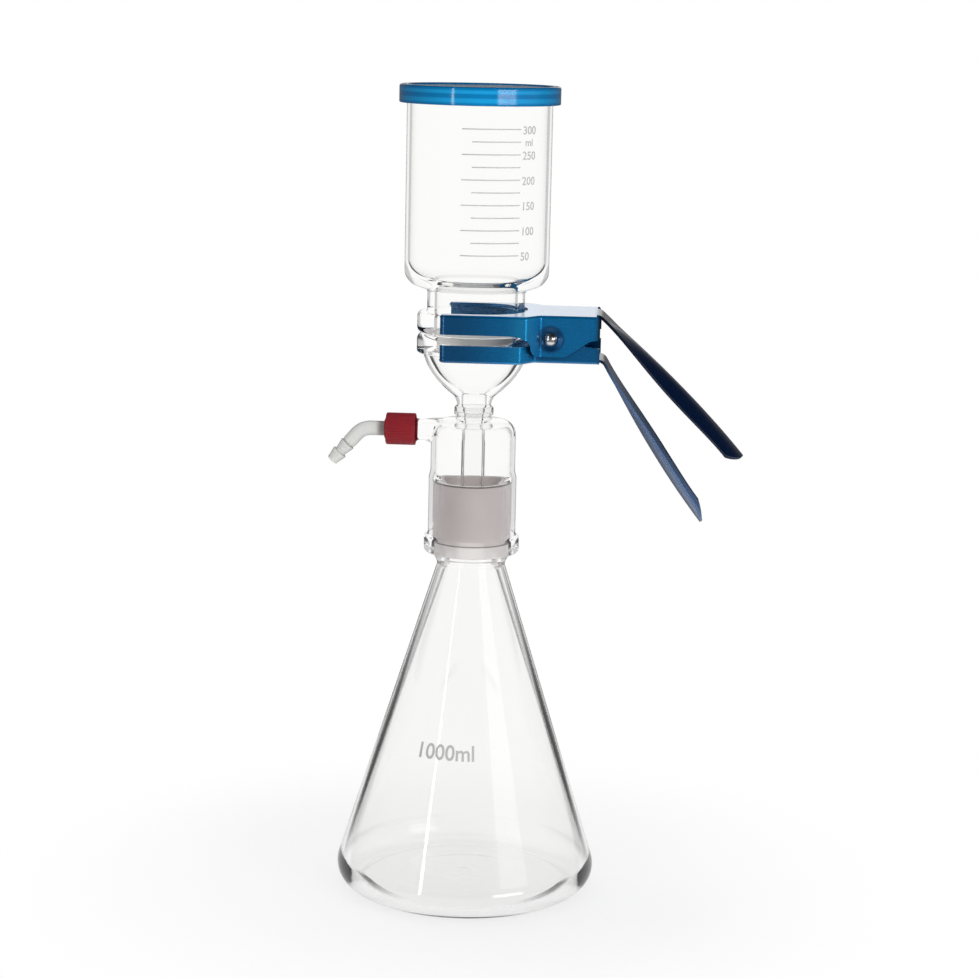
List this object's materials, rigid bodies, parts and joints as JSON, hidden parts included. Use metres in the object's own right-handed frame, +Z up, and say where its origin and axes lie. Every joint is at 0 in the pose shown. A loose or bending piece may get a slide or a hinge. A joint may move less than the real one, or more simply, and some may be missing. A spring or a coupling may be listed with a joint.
{
  "type": "vacuum filtration unit",
  "caption": "Glass vacuum filtration unit: lidded graduated funnel clamped over a sintered disc, head with side arm and hose connector, on a conical flask with a ground neck.",
  "frame": {"origin": "on the glassware's common axis, in the plane that the flask's foot stands on", "axes": "+Z up the axis of the glassware; the vacuum side arm points along -X and the clamp's handles along +X"},
  "size_m": [0.2189, 0.1384, 0.4291],
  "materials": {
    "glass": "clear, ground matt on its joint and flange faces",
    "sintered_glass": "white, porous",
    "blue_lid": "soft gloss",
    "red_cap": "satin",
    "seal_rubber": "matt",
    "clear_plastic": "milky, see-through",
    "blue_anodised": "anodised, satin",
    "rivet_steel": "bright",
    "spring_steel": "drawn wire"
  },
  "bodies": {
    "flask": {"flask": "glass"},
    "filter_head": {"vacuum_chamber": "glass", "filter_bowl": "glass", "sintered_disc": "sintered_glass", "funnel": "glass"},
    "lid": {"lid": "blue_lid"},
    "clamp_base": {"clamp_lower_jaw": "blue_anodised"},
    "clamp_top": {"clamp_upper_jaw": "blue_anodised", "pivot_pin": "rivet_steel", "torsion_spring": "spring_steel"},
    "seal": {"seal_ring": "seal_rubber"},
    "cap": {"screw_cap": "red_cap"},
    "hose_end": {"hose_connector": "clear_plastic"}
  },
  "joints": [
    {"name": "head_lift", "type": "slide", "parent": "flask", "child": "filter_head", "axis": [0, 0, 1], "range_m": [0, 0.045]},
    {"name": "lid_lift", "type": "slide", "parent": "filter_head", "child": "lid", "axis": [0, 0, 1], "range_m": [0, 0.04]},
    {"name": "clamp_slide", "type": "slide", "parent": "filter_head", "child": "clamp_base", "axis": [1, 0, 0], "range_m": [0, 0.085]},
    {"name": "clamp_open", "type": "hinge", "parent": "clamp_base", "child": "clamp_top", "pos_m": [0.0401, 0, 0.30147], "axis": [0, 1, 0], "range_deg": [0, 10], "stiffness_Nm_per_rad": 1.5, "springref_deg": -20.05, "deforming": ["torsion_spring"]},
    {"name": "cap_travel", "type": "slide", "parent": "filter_head", "child": "seal", "axis": [-1, 0, 0], "range_m": [0, 0.0064]},
    {"name": "cap_turn", "type": "hinge", "parent": "seal", "child": "cap", "pos_m": [-0.036, 0, 0.2487], "axis": [-1, 0, 0], "range_deg": [0, 900]},
    {"name": "hose_swivel", "type": "hinge", "parent": "seal", "child": "hose_end", "pos_m": [-0.044, 0, 0.2487], "axis": [-1, 0, 0], "continuous": true}
  ],
  "couplings": [
    {"joint": "cap_travel", "follows": "cap_turn", "m_per_rad": 0.00039789}
  ]
}
